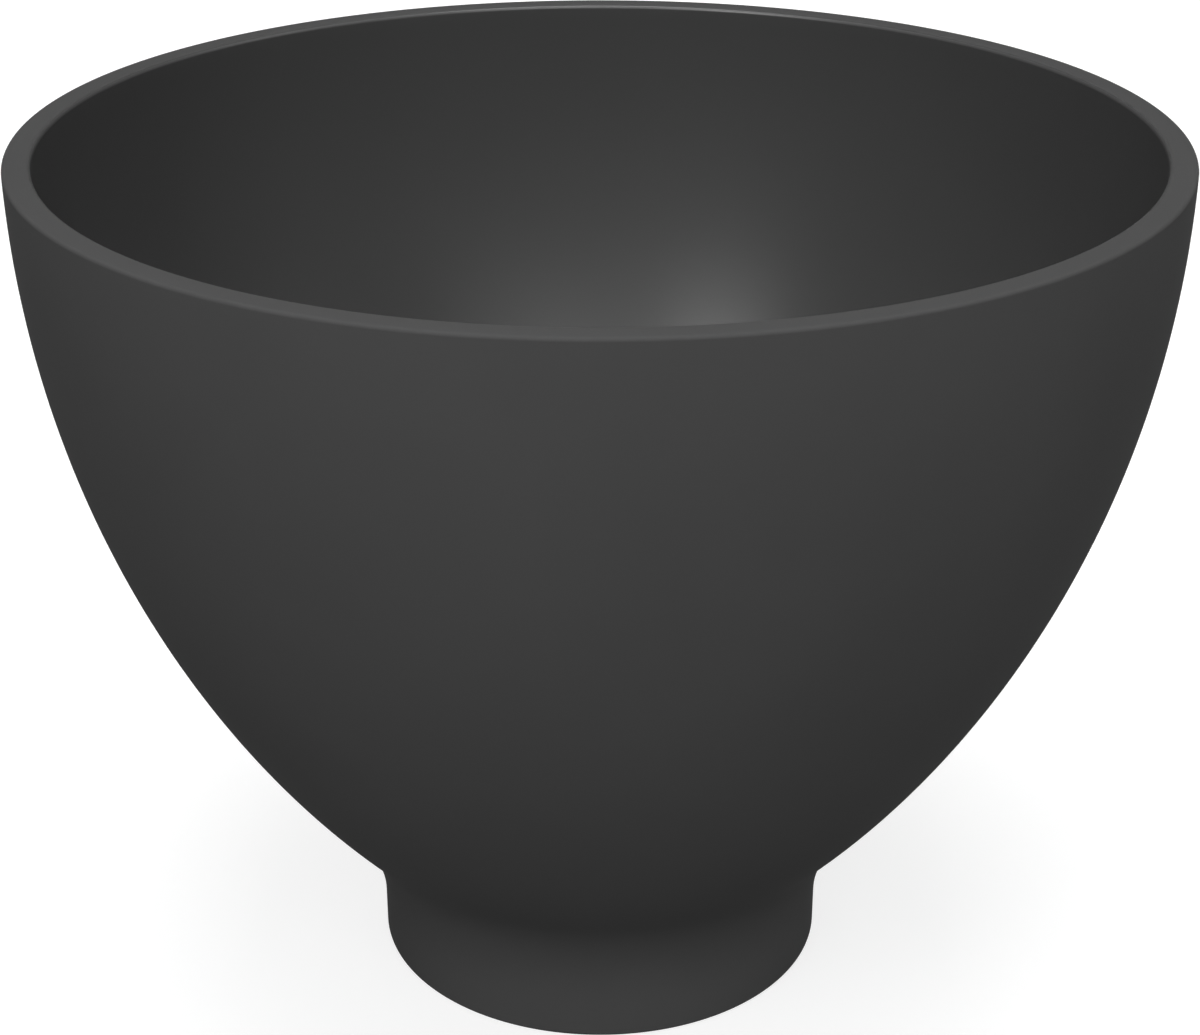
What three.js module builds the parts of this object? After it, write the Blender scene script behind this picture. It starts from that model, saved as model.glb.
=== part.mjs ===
// A silicone mixing cup, moulded in one piece: a deep round bowl with a flat rim on a short round foot.
// Millimetres, +Z up. The foot rests on z = 0 and the cup is turned about the z axis.
import * as THREE from "three";

// Bowl
const RIM_DIAMETER = 150; // over the outside of the rim
const CUP_HEIGHT = 117.8; // resting face to rim
const WALL = 3.6; // even thickness of the upper wall
const THICKEN_BELOW = 55; // height under which the wall grows thicker towards the floor
const RIM_OUTER_ROUND = 0.5; // edge radius outside the flat rim
const RIM_INNER_ROUND = 0.65; // edge radius inside the flat rim
const BOWL_APEX = -1.7; // height where the bowl's outside, carried on through the foot, would reach the axis
const NOSE_SHARE = 0.292; // level tangent of the outside curve at the axis, as a share of the rim radius
const SIDE_SHARE = 0.594; // upright tangent of the outside curve at the rim, as a share of its height

// Foot
const FOOT_DIAMETER = 62.4; // at the resting face
const FOOT_DRAFT = 0.25; // degrees by which the foot's side leans out going up
const FOOT_WALL_HEIGHT = 5.8; // resting face to the start of the hollow blend into the bowl
const FOOT_EDGE_ROUND = 0.7; // edge radius round the resting face

// Underside
const RING_WIDTH = 6.5; // the flat ring that the cup stands on, from the foot's side to the recess
const RECESS_DEPTH = 3; // resting face to the recess's ceiling
const RECESS_DRAFT = 4; // degrees by which the recess's side leans in going up
const RECESS_EDGE_ROUND = 0.6; // edge radius between ring and recess
const RECESS_ROUND = 1.4; // radius between the recess's side and ceiling
const FLOOR_THICKNESS = 8; // recess's ceiling to the bowl's floor

// Fineness of the mesh
const TURN_STEPS = 72; // flats round the axis
const OUTSIDE_STEPS = 16; // flats along the bowl's outside
const INSIDE_STEPS = 18; // flats along the bowl's inside
const BLEND_STEPS = 7; // flats along the hollow blend
const ROUND_STEPS = 3; // flats along each edge round

const QUARTER_TURN = Math.PI / 2;
const rimRadius = RIM_DIAMETER / 2;
const footRadius = FOOT_DIAMETER / 2;
const floorHeight = RECESS_DEPTH + FLOOR_THICKNESS;
const point = (radius, height) => new THREE.Vector2(radius, height);

// Points at even steps from one value to another, both ends included.
function along(from, to, steps, place) {
  const points = [];
  for (let i = 0; i <= steps; i++) points.push(place(from + ((to - from) * i) / steps));
  return points;
}

function arc(centre, radius, from, to, steps) {
  const place = (angle) => point(Math.cos(angle), Math.sin(angle)).multiplyScalar(radius).add(centre);
  return along(from, to, steps, place);
}

// How far the centre of an edge round lies from the corner, along a level face that a leaning side meets.
const setBack = (radius, lean) => radius * Math.tan((QUARTER_TURN - lean) / 2);

// The bowl's outside is one cubic, level on the axis and upright where the rim's edge rounds begin.
const sideTop = CUP_HEIGHT - Math.max(RIM_OUTER_ROUND, RIM_INNER_ROUND);
const outside = new THREE.CubicBezierCurve(
  point(0, BOWL_APEX),
  point(rimRadius * NOSE_SHARE, BOWL_APEX),
  point(rimRadius, sideTop - (sideTop - BOWL_APEX) * SIDE_SHARE),
  point(rimRadius, sideTop),
);

// The inside follows the outside at the wall's thickness, which grows smoothly to the full floor on the axis.
function insidePoint(t) {
  const outer = outside.getPoint(t);
  const tangent = outside.getTangent(t);
  const raised = Math.min(1, (outer.y - BOWL_APEX) / (THICKEN_BELOW - BOWL_APEX));
  const thickness = WALL + (floorHeight - BOWL_APEX - WALL) * (1 - raised) ** 2;
  return point(outer.x - tangent.y * thickness, outer.y + tangent.x * thickness);
}

// The hollow blend is a circle that leaves the top of the foot's side and just touches the bowl's outside.
const footLean = THREE.MathUtils.degToRad(FOOT_DRAFT);
const footOutward = point(Math.cos(footLean), -Math.sin(footLean));
const footTop = point(footRadius + FOOT_WALL_HEIGHT * Math.tan(footLean), FOOT_WALL_HEIGHT);

function blendRadiusThrough(t) {
  const reach = outside.getPoint(t).sub(footTop);
  const outward = reach.dot(footOutward);
  return outward > 0 ? reach.lengthSq() / (2 * outward) : Infinity;
}

// Of the circles that reach the bowl, the smallest is the one that only touches it.
function touchingPlace() {
  let low = 0;
  let high = 1;
  while (high - low > 1e-9) {
    const third = (high - low) / 3;
    if (blendRadiusThrough(low + third) < blendRadiusThrough(high - third)) high -= third;
    else low += third;
  }
  return high;
}

const touch = touchingPlace();
const blendRadius = blendRadiusThrough(touch);
const blendCentre = footTop.clone().addScaledVector(footOutward, blendRadius);
const blendEnd = outside.getPoint(touch).sub(blendCentre).angle();
const footEdgeCentre = point(footRadius - setBack(FOOT_EDGE_ROUND, footLean), FOOT_EDGE_ROUND);

// The recess under the foot is rounded where its side meets the ring and where it meets the ceiling.
const recessLean = THREE.MathUtils.degToRad(RECESS_DRAFT);
const recessRadius = footRadius - RING_WIDTH;
const ceilingRadius = recessRadius - RECESS_DEPTH * Math.tan(recessLean);
const recessEdgeCentre = point(recessRadius + setBack(RECESS_EDGE_ROUND, recessLean), RECESS_EDGE_ROUND);
const ceilingCentre = point(ceilingRadius - setBack(RECESS_ROUND, recessLean), RECESS_DEPTH - RECESS_ROUND);

const rimOuterCentre = point(rimRadius - RIM_OUTER_ROUND, CUP_HEIGHT - RIM_OUTER_ROUND);
const rimInnerCentre = point(rimRadius - WALL + RIM_INNER_ROUND, CUP_HEIGHT - RIM_INNER_ROUND);

// The section runs out under the foot, up the outside, over the rim and down the inside to the floor.
const section = [
  point(0, RECESS_DEPTH),
  ...arc(ceilingCentre, RECESS_ROUND, QUARTER_TURN, recessLean, ROUND_STEPS),
  ...arc(recessEdgeCentre, RECESS_EDGE_ROUND, Math.PI + recessLean, 3 * QUARTER_TURN, ROUND_STEPS),
  ...arc(footEdgeCentre, FOOT_EDGE_ROUND, -QUARTER_TURN, -footLean, ROUND_STEPS),
  ...arc(blendCentre, blendRadius, Math.PI - footLean, blendEnd, BLEND_STEPS),
  ...along(touch, 1, OUTSIDE_STEPS, (t) => outside.getPoint(t)).slice(1),
  ...arc(rimOuterCentre, RIM_OUTER_ROUND, 0, QUARTER_TURN, ROUND_STEPS),
  ...arc(rimInnerCentre, RIM_INNER_ROUND, QUARTER_TURN, Math.PI, ROUND_STEPS),
  ...along(1, 0, INSIDE_STEPS, insidePoint).slice(0, -1),
  point(0, floorHeight),
];

const turned = new THREE.LatheGeometry(section, TURN_STEPS);
turned.rotateX(QUARTER_TURN);

const silicone = new THREE.MeshStandardMaterial({ color: "#484848", roughness: 0.8, metalness: 0 });
const cup = new THREE.Mesh(turned, silicone);
cup.name = "cup";

const part = new THREE.Group();
part.add(cup);
export default part;
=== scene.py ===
"""A dark grey silicone mixing cup, turned smooth from the section of its solid, in a soft white studio."""

import math

import bpy
import numpy as np
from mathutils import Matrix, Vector


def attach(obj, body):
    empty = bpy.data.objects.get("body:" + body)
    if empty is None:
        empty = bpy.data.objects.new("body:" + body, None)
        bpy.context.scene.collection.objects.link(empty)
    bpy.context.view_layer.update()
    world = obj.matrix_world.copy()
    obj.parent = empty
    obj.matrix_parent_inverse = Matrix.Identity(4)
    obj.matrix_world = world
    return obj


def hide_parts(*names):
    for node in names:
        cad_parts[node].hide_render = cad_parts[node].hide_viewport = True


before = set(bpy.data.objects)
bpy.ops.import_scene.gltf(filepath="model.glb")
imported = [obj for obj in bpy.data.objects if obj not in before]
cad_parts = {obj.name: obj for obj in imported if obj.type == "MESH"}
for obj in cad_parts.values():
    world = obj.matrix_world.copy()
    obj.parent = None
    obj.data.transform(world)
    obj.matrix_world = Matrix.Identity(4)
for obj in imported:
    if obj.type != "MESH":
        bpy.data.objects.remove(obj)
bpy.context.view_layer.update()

# Camera, for an image of 1200 x 1035
CAMERA_PLACE = (0.0, -0.310301, 0.205673)
CAMERA_PITCH = math.radians(24.6017)  # below the horizon
CAMERA_LENS = 74.681  # mm
SENSOR_WIDTH = 36.0  # mm

# Turned surface
ON_PLANE = 1e-6  # how far off the section's half plane a vertex may lie
TURN_STEPS = 256  # steps round the axis
LONGEST_STEP = 0.0016  # along the section
LARGEST_BEND = math.radians(6)  # between two steps along the section

# Silicone: a matt finish from the textured mould, and a polished one from the core that shapes the inside
MATT_GREY = 0.065  # linear
MATT_ROUGHNESS = 0.9
MATT_SPECULAR = 0.01
POLISHED_GREY = 0.052
POLISHED_ROUGHNESS = 0.3
POLISHED_SPECULAR = 0.8
POLISH_DEPTH = 0.0002  # how far below the rim the polish starts
MOTTLE_SCALE = 45.0  # of the faint change of grey, per metre
GRAIN_SCALE = 2600.0  # of the moulded texture, per metre
UNEVENNESS = 0.06  # by which grey and roughness vary, as a share
GRAIN_HEIGHT = 0.0001
GRAIN_STRENGTH = 0.05

# Studio
FLOOR_RADIUS = 40.0
FLOOR_GREY = 0.4  # where the floor is seen, on top of its own glow
FLOOR_GLOW = 0.74
FLOOR_BOUNCE = 0.02  # for the light that the floor sends back up
ROOM_LIGHT = (0.58, 0.08)  # at the camera's end of the room and at the far end
LAMP_TARGET = Vector((0.0, 0.0, 0.08))
LAMP_DISTANCE = 0.9

# Soft boxes: azimuth and elevation in degrees, width, height and radiance. Azimuth 0 is the camera's side,
# and negative is to its left. The last three are strips below the rim, which light the outside alone.
SOFT_BOXES = {
    "key": (-35, 36, 0.36, 0.42, 4.2),
    "fill": (13.5, 40.5, 0.36, 0.28, 2.6),
    "wide": (10, 28, 1.0, 0.16, 0.6),
    "low": (4, -2.4, 1.8, 0.08, 7.1),
    "right": (88, 35, 0.4, 0.4, 0.8),
    "top": (0, 90, 0.6, 0.6, 5.4),
    "back": (180, -1.7, 1.0, 0.1, 19.0),
    "low_left": (-115, -1.7, 0.8, 0.1, 2.1),
    "low_right": (115, -1.7, 0.8, 0.1, 4.6),
}


def cad_section(mesh):
    """The solid's section as rows of radius and height, from the axis under the foot to that in the bowl."""
    def in_section(vertex):
        x, y, z = vertex.co
        return (round(x, 7), round(z, 7)) if abs(y) < ON_PLANE and x > -ON_PLANE else None

    places = [in_section(vertex) for vertex in mesh.vertices]
    links = {}
    for edge in mesh.edges:
        start, end = (places[index] for index in edge.vertices)
        if start and end and start != end:
            links.setdefault(start, set()).add(end)
            links.setdefault(end, set()).add(start)
    path = [min(links)]
    while ahead := links[path[-1]].difference(path):
        path.append(ahead.pop())
    return np.array(path)


def smooth_section(corners):
    """The same section with its curves filled in. Each stretch is a flat or close to an arc, so the tangent
    at its far end is the tangent at its near end mirrored in the chord. On the axis the section is level."""
    chords = np.diff(corners, axis=0)
    lengths = np.hypot(*chords.T)
    bearings = np.unwrap(np.arctan2(chords[:, 1], chords[:, 0]))
    headings = [0.0]
    for bearing in bearings:
        headings.append(2 * bearing - headings[-1])
    points = [corners[:1]]
    for i, length in enumerate(lengths):
        bend = abs(headings[i + 1] - headings[i])
        steps = math.ceil(max(length / LONGEST_STEP, bend / LARGEST_BEND))
        reach = length / math.cos(bend / 4) ** 2
        leave, arrive = (reach * np.array([math.cos(h), math.sin(h)]) for h in headings[i:i + 2])
        t = (np.arange(1, steps + 1) / steps)[:, None]
        points.append(corners[i] + chords[i] * t * t * (3 - 2 * t)
                      + leave * t * (1 - t) ** 2 - arrive * t * t * (1 - t))
    return np.clip(np.concatenate(points), corners.min(axis=0), corners.max(axis=0))


def turned_mesh(name, section):
    """A closed mesh of the section turned about the z axis. Its first and last points lie on the axis."""
    rings = section[1:-1]
    angles = np.arange(TURN_STEPS) * 2 * math.pi / TURN_STEPS
    x = np.outer(rings[:, 0], np.cos(angles))
    y = np.outer(rings[:, 0], np.sin(angles))
    z = np.repeat(rings[:, 1:], TURN_STEPS, axis=1)
    vertices = np.stack([x, y, z], axis=2).reshape(-1, 3)
    index = np.arange(len(vertices)).reshape(len(rings), TURN_STEPS)
    onward = np.roll(index, -1, axis=1)
    quads = np.stack([index[:-1], onward[:-1], onward[1:], index[1:]], axis=2).reshape(-1, 4)
    under, bowl = len(vertices), len(vertices) + 1
    fans = [(under, onward[0, i], index[0, i]) for i in range(TURN_STEPS)]
    fans += [(bowl, index[-1, i], onward[-1, i]) for i in range(TURN_STEPS)]
    poles = [(0.0, 0.0, section[0, 1]), (0.0, 0.0, section[-1, 1])]
    mesh = bpy.data.meshes.new(name)
    mesh.from_pydata(vertices.tolist() + poles, [], quads.tolist() + fans)
    mesh.shade_smooth()
    return mesh


def silicone(name, grey, roughness, specular):
    """Moulded silicone: an even dark grey with a faint mottle and a very fine grain."""
    material = bpy.data.materials.new(name)
    material.use_nodes = True
    nodes, links = material.node_tree.nodes, material.node_tree.links
    shader = nodes["Principled BSDF"]
    shader.inputs["Specular IOR Level"].default_value = specular
    place = nodes.new("ShaderNodeTexCoord")

    def noise(scale, detail):
        node = nodes.new("ShaderNodeTexNoise")
        node.inputs["Scale"].default_value = scale
        node.inputs["Detail"].default_value = detail
        links.new(place.outputs["Object"], node.inputs["Vector"])
        return node.outputs["Fac"]

    def between(source, least, most):
        node = nodes.new("ShaderNodeMapRange")
        node.inputs["To Min"].default_value = least
        node.inputs["To Max"].default_value = most
        links.new(source, node.inputs["Value"])
        return node.outputs["Result"]

    low, high = 1 - UNEVENNESS, 1 + UNEVENNESS
    mottle = noise(MOTTLE_SCALE, 3.0)
    grain = noise(GRAIN_SCALE, 2.0)
    links.new(between(mottle, low * grey, high * grey), shader.inputs["Base Color"])
    links.new(between(grain, low * roughness, high * roughness), shader.inputs["Roughness"])
    bump = nodes.new("ShaderNodeBump")
    bump.inputs["Strength"].default_value = GRAIN_STRENGTH
    bump.inputs["Distance"].default_value = GRAIN_HEIGHT
    links.new(grain, bump.inputs["Height"])
    links.new(bump.outputs["Normal"], shader.inputs["Normal"])
    return material


def shown_rays(nodes, links):
    """1 for the rays that show a surface as it looks: to the camera, in a reflection or through glass."""
    rays = nodes.new("ShaderNodeLightPath")
    either = nodes.new("ShaderNodeMath")
    either.operation = "MAXIMUM"
    links.new(rays.outputs["Is Camera Ray"], either.inputs[0])
    links.new(rays.outputs["Is Glossy Ray"], either.inputs[1])
    third = nodes.new("ShaderNodeMath")
    third.operation = "MAXIMUM"
    links.new(either.outputs[0], third.inputs[0])
    links.new(rays.outputs["Is Transmission Ray"], third.inputs[1])
    return third.outputs[0]


def studio_floor():
    """A wide pale floor that shows white, with the cup's shadow, and sends next to no light back up."""
    bpy.ops.mesh.primitive_circle_add(vertices=96, radius=FLOOR_RADIUS, fill_type="NGON")
    floor = bpy.context.object
    floor.name = "floor"
    material = bpy.data.materials.new("floor")
    material.use_nodes = True
    nodes, links = material.node_tree.nodes, material.node_tree.links
    nodes.clear()
    output = nodes.new("ShaderNodeOutputMaterial")
    mix = nodes.new("ShaderNodeMixShader")
    dull = nodes.new("ShaderNodeBsdfDiffuse")
    dull.inputs["Color"].default_value = (FLOOR_BOUNCE, FLOOR_BOUNCE, FLOOR_BOUNCE, 1.0)
    white = nodes.new("ShaderNodeBsdfDiffuse")
    white.inputs["Color"].default_value = (FLOOR_GREY, FLOOR_GREY, FLOOR_GREY, 1.0)
    glow = nodes.new("ShaderNodeEmission")
    glow.inputs["Strength"].default_value = FLOOR_GLOW
    pale = nodes.new("ShaderNodeAddShader")
    links.new(white.outputs[0], pale.inputs[0])
    links.new(glow.outputs[0], pale.inputs[1])
    links.new(shown_rays(nodes, links), mix.inputs["Fac"])
    links.new(dull.outputs[0], mix.inputs[1])
    links.new(pale.outputs[0], mix.inputs[2])
    links.new(mix.outputs[0], output.inputs["Surface"])
    floor.data.materials.append(material)


def studio_room():
    """Soft light from the camera's end of the room, which fades towards the far end."""
    world = bpy.data.worlds.new("studio")
    bpy.context.scene.world = world
    world.use_nodes = True
    nodes, links = world.node_tree.nodes, world.node_tree.links
    background = nodes["Background"]
    background.inputs["Color"].default_value = (1.0, 1.0, 1.0, 1.0)
    direction = nodes.new("ShaderNodeTexCoord")
    parts = nodes.new("ShaderNodeSeparateXYZ")
    links.new(direction.outputs["Generated"], parts.inputs["Vector"])
    fade = nodes.new("ShaderNodeMapRange")
    fade.inputs["From Min"].default_value = -1.0
    fade.inputs["To Min"].default_value = ROOM_LIGHT[0]
    fade.inputs["To Max"].default_value = ROOM_LIGHT[1]
    links.new(parts.outputs["Y"], fade.inputs["Value"])
    links.new(fade.outputs["Result"], background.inputs["Strength"])


def soft_box(name, azimuth, elevation, width, height, radiance):
    """A soft lamp that faces the cup and doesn't show itself."""
    data = bpy.data.lights.new(name, "AREA")
    data.shape = "RECTANGLE"
    data.size, data.size_y = width, height
    data.energy = math.pi * width * height * radiance
    lamp = bpy.data.objects.new(name, data)
    turn, rise = math.radians(azimuth), math.radians(elevation)
    level = math.cos(rise)
    towards = Vector((math.sin(turn) * level, -math.cos(turn) * level, math.sin(rise)))
    lamp.location = LAMP_TARGET + towards * LAMP_DISTANCE
    lamp.rotation_euler = towards.to_track_quat("Z", "Y").to_euler()
    lamp.visible_camera = False
    bpy.context.collection.objects.link(lamp)


def photo_camera():
    """The camera that the photo was taken with, as far as the cup's outline tells it."""
    data = bpy.data.cameras.new("camera")
    data.lens = CAMERA_LENS
    data.sensor_width = SENSOR_WIDTH
    data.sensor_fit = "HORIZONTAL"
    data.clip_start = 0.01
    camera = bpy.data.objects.new("camera", data)
    camera.location = CAMERA_PLACE
    camera.rotation_euler = (math.pi / 2 - CAMERA_PITCH, 0.0, 0.0)
    bpy.context.collection.objects.link(camera)
    bpy.context.scene.camera = camera


def cup_body():
    """The whole moulding. The polished finish starts part of the way down the rim's inner round."""
    section = smooth_section(cad_section(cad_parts["cup"].data))
    cup = bpy.data.objects.new("cup_body", turned_mesh("cup_body", section))
    bpy.context.collection.objects.link(cup)
    matt = silicone("silicone_matt", MATT_GREY, MATT_ROUGHNESS, MATT_SPECULAR)
    polished = silicone("silicone_polished", POLISHED_GREY, POLISHED_ROUGHNESS, POLISHED_SPECULAR)
    cup.data.materials.append(matt)
    cup.data.materials.append(polished)
    heights = section[:, 1]
    rim_end = np.flatnonzero(heights > heights.max() - POLISH_DEPTH)[-1]
    under = len(cup.data.vertices) - 2
    for polygon in cup.data.polygons:
        inside = polygon.vertices[0] >= (rim_end - 1) * TURN_STEPS and polygon.vertices[0] != under
        polygon.material_index = int(inside)
    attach(cup, "root")
    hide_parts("cup")


cup_body()
studio_floor()
studio_room()
for box, values in SOFT_BOXES.items():
    soft_box(box, *values)
photo_camera()
bpy.context.scene.view_settings.view_transform = "Standard"
